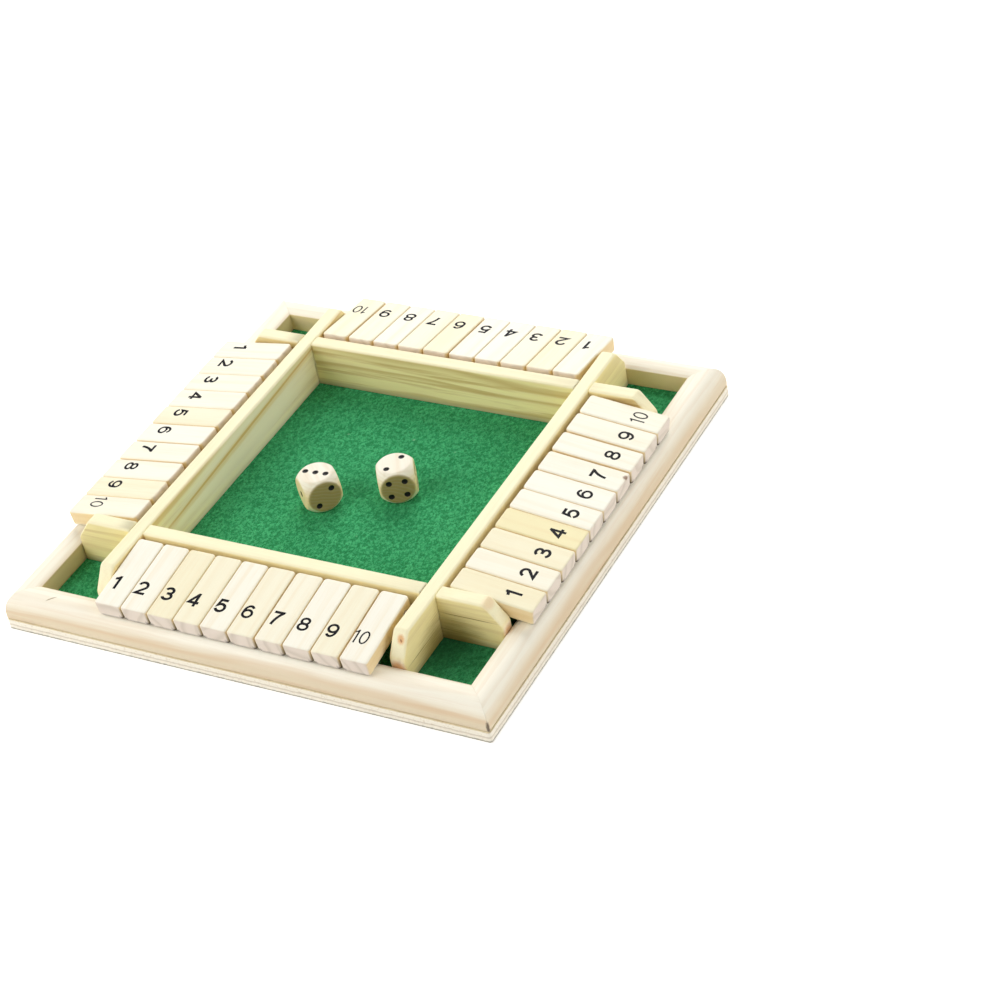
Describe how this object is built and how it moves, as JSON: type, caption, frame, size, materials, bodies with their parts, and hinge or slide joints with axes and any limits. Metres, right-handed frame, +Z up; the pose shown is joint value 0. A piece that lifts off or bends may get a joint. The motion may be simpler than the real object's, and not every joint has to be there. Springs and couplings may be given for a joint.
{
  "type": "shut the box game",
  "caption": "Square wooden shut the box game for four players, with rows of numbered flaps on rods round a felt lined dice field.",
  "frame": {"origin": "middle of the underside, on the surface that the game stands on", "axes": "+Z up; +X and +Y run along the sides, and the front row of flaps faces -Y with its first flap at -X"},
  "size_m": [0.2218, 0.2218, 0.0281],
  "materials": {
    "plywood": "matte",
    "felt": "fleecy",
    "frame_pine": "satin",
    "divider_pine": "satin",
    "steel": "drawn",
    "flap_pine": "satin",
    "die_wood": "satin"
  },
  "bodies": {
    "board": {"base_board": "plywood", "felt_lining": "felt", "frame_rail_front": "frame_pine", "frame_rail_right": "frame_pine", "frame_rail_back": "frame_pine", "frame_rail_left": "frame_pine", "divider_front": "divider_pine", "divider_right": "divider_pine", "divider_back": "divider_pine", "divider_left": "divider_pine", "rod_front": "steel", "rod_right": "steel", "rod_back": "steel", "rod_left": "steel"},
    "flap_front_01": {"flap_front_01": "flap_pine"},
    "flap_front_02": {"flap_front_02": "flap_pine"},
    "flap_front_03": {"flap_front_03": "flap_pine"},
    "flap_front_04": {"flap_front_04": "flap_pine"},
    "flap_front_05": {"flap_front_05": "flap_pine"},
    "flap_front_06": {"flap_front_06": "flap_pine"},
    "flap_front_07": {"flap_front_07": "flap_pine"},
    "flap_front_08": {"flap_front_08": "flap_pine"},
    "flap_front_09": {"flap_front_09": "flap_pine"},
    "flap_front_10": {"flap_front_10": "flap_pine"},
    "flap_right_01": {"flap_right_01": "flap_pine"},
    "flap_right_02": {"flap_right_02": "flap_pine"},
    "flap_right_03": {"flap_right_03": "flap_pine"},
    "flap_right_04": {"flap_right_04": "flap_pine"},
    "flap_right_05": {"flap_right_05": "flap_pine"},
    "flap_right_06": {"flap_right_06": "flap_pine"},
    "flap_right_07": {"flap_right_07": "flap_pine"},
    "flap_right_08": {"flap_right_08": "flap_pine"},
    "flap_right_09": {"flap_right_09": "flap_pine"},
    "flap_right_10": {"flap_right_10": "flap_pine"},
    "flap_back_01": {"flap_back_01": "flap_pine"},
    "flap_back_02": {"flap_back_02": "flap_pine"},
    "flap_back_03": {"flap_back_03": "flap_pine"},
    "flap_back_04": {"flap_back_04": "flap_pine"},
    "flap_back_05": {"flap_back_05": "flap_pine"},
    "flap_back_06": {"flap_back_06": "flap_pine"},
    "flap_back_07": {"flap_back_07": "flap_pine"},
    "flap_back_08": {"flap_back_08": "flap_pine"},
    "flap_back_09": {"flap_back_09": "flap_pine"},
    "flap_back_10": {"flap_back_10": "flap_pine"},
    "flap_left_01": {"flap_left_01": "flap_pine"},
    "flap_left_02": {"flap_left_02": "flap_pine"},
    "flap_left_03": {"flap_left_03": "flap_pine"},
    "flap_left_04": {"flap_left_04": "flap_pine"},
    "flap_left_05": {"flap_left_05": "flap_pine"},
    "flap_left_06": {"flap_left_06": "flap_pine"},
    "flap_left_07": {"flap_left_07": "flap_pine"},
    "flap_left_08": {"flap_left_08": "flap_pine"},
    "flap_left_09": {"flap_left_09": "flap_pine"},
    "flap_left_10": {"flap_left_10": "flap_pine"},
    "die_a": {"die_a": "die_wood"},
    "die_b": {"die_b": "die_wood"}
  },
  "joints": [
    {"name": "flap_front_01_hinge", "type": "hinge", "parent": "board", "child": "flap_front_01", "pos_m": [-0.05765, -0.07779, 0.0229], "axis": [-1, 0, 0], "range_deg": [0, 118]},
    {"name": "flap_front_02_hinge", "type": "hinge", "parent": "board", "child": "flap_front_02", "pos_m": [-0.04525, -0.07779, 0.0229], "axis": [-1, 0, 0], "range_deg": [0, 118]},
    {"name": "flap_front_03_hinge", "type": "hinge", "parent": "board", "child": "flap_front_03", "pos_m": [-0.03285, -0.07779, 0.0229], "axis": [-1, 0, 0], "range_deg": [0, 118]},
    {"name": "flap_front_04_hinge", "type": "hinge", "parent": "board", "child": "flap_front_04", "pos_m": [-0.02045, -0.07779, 0.0229], "axis": [-1, 0, 0], "range_deg": [0, 118]},
    {"name": "flap_front_05_hinge", "type": "hinge", "parent": "board", "child": "flap_front_05", "pos_m": [-0.00805, -0.07779, 0.0229], "axis": [-1, 0, 0], "range_deg": [0, 118]},
    {"name": "flap_front_06_hinge", "type": "hinge", "parent": "board", "child": "flap_front_06", "pos_m": [0.00435, -0.07779, 0.0229], "axis": [-1, 0, 0], "range_deg": [0, 118]},
    {"name": "flap_front_07_hinge", "type": "hinge", "parent": "board", "child": "flap_front_07", "pos_m": [0.01705, -0.07779, 0.0229], "axis": [-1, 0, 0], "range_deg": [0, 118]},
    {"name": "flap_front_08_hinge", "type": "hinge", "parent": "board", "child": "flap_front_08", "pos_m": [0.02956, -0.07779, 0.0229], "axis": [-1, 0, 0], "range_deg": [0, 118]},
    {"name": "flap_front_09_hinge", "type": "hinge", "parent": "board", "child": "flap_front_09", "pos_m": [0.04207, -0.07779, 0.0229], "axis": [-1, 0, 0], "range_deg": [0, 118]},
    {"name": "flap_front_10_hinge", "type": "hinge", "parent": "board", "child": "flap_front_10", "pos_m": [0.0548, -0.07779, 0.0229], "axis": [-1, 0, 0], "range_deg": [0, 118]},
    {"name": "flap_right_01_hinge", "type": "hinge", "parent": "board", "child": "flap_right_01", "pos_m": [0.07779, -0.05765, 0.0229], "axis": [0, -1, 0], "range_deg": [0, 118]},
    {"name": "flap_right_02_hinge", "type": "hinge", "parent": "board", "child": "flap_right_02", "pos_m": [0.07779, -0.04525, 0.0229], "axis": [0, -1, 0], "range_deg": [0, 118]},
    {"name": "flap_right_03_hinge", "type": "hinge", "parent": "board", "child": "flap_right_03", "pos_m": [0.07779, -0.0327, 0.0229], "axis": [0, -1, 0], "range_deg": [0, 118]},
    {"name": "flap_right_04_hinge", "type": "hinge", "parent": "board", "child": "flap_right_04", "pos_m": [0.07779, -0.02008, 0.0229], "axis": [0, -1, 0], "range_deg": [0, 118]},
    {"name": "flap_right_05_hinge", "type": "hinge", "parent": "board", "child": "flap_right_05", "pos_m": [0.07779, -0.00768, 0.0229], "axis": [0, -1, 0], "range_deg": [0, 118]},
    {"name": "flap_right_06_hinge", "type": "hinge", "parent": "board", "child": "flap_right_06", "pos_m": [0.07779, 0.00472, 0.0229], "axis": [0, -1, 0], "range_deg": [0, 118]},
    {"name": "flap_right_07_hinge", "type": "hinge", "parent": "board", "child": "flap_right_07", "pos_m": [0.07779, 0.01734, 0.0229], "axis": [0, -1, 0], "range_deg": [0, 118]},
    {"name": "flap_right_08_hinge", "type": "hinge", "parent": "board", "child": "flap_right_08", "pos_m": [0.07779, 0.03048, 0.0229], "axis": [0, -1, 0], "range_deg": [0, 118]},
    {"name": "flap_right_09_hinge", "type": "hinge", "parent": "board", "child": "flap_right_09", "pos_m": [0.07779, 0.04355, 0.0229], "axis": [0, -1, 0], "range_deg": [0, 118]},
    {"name": "flap_right_10_hinge", "type": "hinge", "parent": "board", "child": "flap_right_10", "pos_m": [0.07779, 0.05617, 0.0229], "axis": [0, -1, 0], "range_deg": [0, 118]},
    {"name": "flap_back_01_hinge", "type": "hinge", "parent": "board", "child": "flap_back_01", "pos_m": [0.05528, 0.07779, 0.0229], "axis": [1, 0, 0], "range_deg": [0, 118]},
    {"name": "flap_back_02_hinge", "type": "hinge", "parent": "board", "child": "flap_back_02", "pos_m": [0.04288, 0.07779, 0.0229], "axis": [1, 0, 0], "range_deg": [0, 118]},
    {"name": "flap_back_03_hinge", "type": "hinge", "parent": "board", "child": "flap_back_03", "pos_m": [0.03048, 0.07779, 0.0229], "axis": [1, 0, 0], "range_deg": [0, 118]},
    {"name": "flap_back_04_hinge", "type": "hinge", "parent": "board", "child": "flap_back_04", "pos_m": [0.01808, 0.07779, 0.0229], "axis": [1, 0, 0], "range_deg": [0, 118]},
    {"name": "flap_back_05_hinge", "type": "hinge", "parent": "board", "child": "flap_back_05", "pos_m": [0.00568, 0.07779, 0.0229], "axis": [1, 0, 0], "range_deg": [0, 118]},
    {"name": "flap_back_06_hinge", "type": "hinge", "parent": "board", "child": "flap_back_06", "pos_m": [-0.00716, 0.07779, 0.0229], "axis": [1, 0, 0], "range_deg": [0, 118]},
    {"name": "flap_back_07_hinge", "type": "hinge", "parent": "board", "child": "flap_back_07", "pos_m": [-0.01956, 0.07779, 0.0229], "axis": [1, 0, 0], "range_deg": [0, 118]},
    {"name": "flap_back_08_hinge", "type": "hinge", "parent": "board", "child": "flap_back_08", "pos_m": [-0.03196, 0.07779, 0.0229], "axis": [1, 0, 0], "range_deg": [0, 118]},
    {"name": "flap_back_09_hinge", "type": "hinge", "parent": "board", "child": "flap_back_09", "pos_m": [-0.04436, 0.07779, 0.0229], "axis": [1, 0, 0], "range_deg": [0, 118]},
    {"name": "flap_back_10_hinge", "type": "hinge", "parent": "board", "child": "flap_back_10", "pos_m": [-0.05728, 0.07779, 0.0229], "axis": [1, 0, 0], "range_deg": [0, 118]},
    {"name": "flap_left_01_hinge", "type": "hinge", "parent": "board", "child": "flap_left_01", "pos_m": [-0.07779, 0.05665, 0.0229], "axis": [0, 1, 0], "range_deg": [0, 118]},
    {"name": "flap_left_02_hinge", "type": "hinge", "parent": "board", "child": "flap_left_02", "pos_m": [-0.07779, 0.04425, 0.0229], "axis": [0, 1, 0], "range_deg": [0, 118]},
    {"name": "flap_left_03_hinge", "type": "hinge", "parent": "board", "child": "flap_left_03", "pos_m": [-0.07779, 0.03185, 0.0229], "axis": [0, 1, 0], "range_deg": [0, 118]},
    {"name": "flap_left_04_hinge", "type": "hinge", "parent": "board", "child": "flap_left_04", "pos_m": [-0.07779, 0.01945, 0.0229], "axis": [0, 1, 0], "range_deg": [0, 118]},
    {"name": "flap_left_05_hinge", "type": "hinge", "parent": "board", "child": "flap_left_05", "pos_m": [-0.07779, 0.00705, 0.0229], "axis": [0, 1, 0], "range_deg": [0, 118]},
    {"name": "flap_left_06_hinge", "type": "hinge", "parent": "board", "child": "flap_left_06", "pos_m": [-0.07779, -0.00568, 0.0229], "axis": [0, 1, 0], "range_deg": [0, 118]},
    {"name": "flap_left_07_hinge", "type": "hinge", "parent": "board", "child": "flap_left_07", "pos_m": [-0.07779, -0.01853, 0.0229], "axis": [0, 1, 0], "range_deg": [0, 118]},
    {"name": "flap_left_08_hinge", "type": "hinge", "parent": "board", "child": "flap_left_08", "pos_m": [-0.07779, -0.03141, 0.0229], "axis": [0, 1, 0], "range_deg": [0, 118]},
    {"name": "flap_left_09_hinge", "type": "hinge", "parent": "board", "child": "flap_left_09", "pos_m": [-0.07779, -0.04381, 0.0229], "axis": [0, 1, 0], "range_deg": [0, 118]},
    {"name": "flap_left_10_hinge", "type": "hinge", "parent": "board", "child": "flap_left_10", "pos_m": [-0.07779, -0.05621, 0.0229], "axis": [0, 1, 0], "range_deg": [0, 118]},
    {"name": "die_a_lift", "type": "slide", "parent": "board", "child": "die_a", "axis": [0, 0, 1], "range_m": [0, 0.05]},
    {"name": "die_b_lift", "type": "slide", "parent": "board", "child": "die_b", "axis": [0, 0, 1], "range_m": [0, 0.05]}
  ]
}
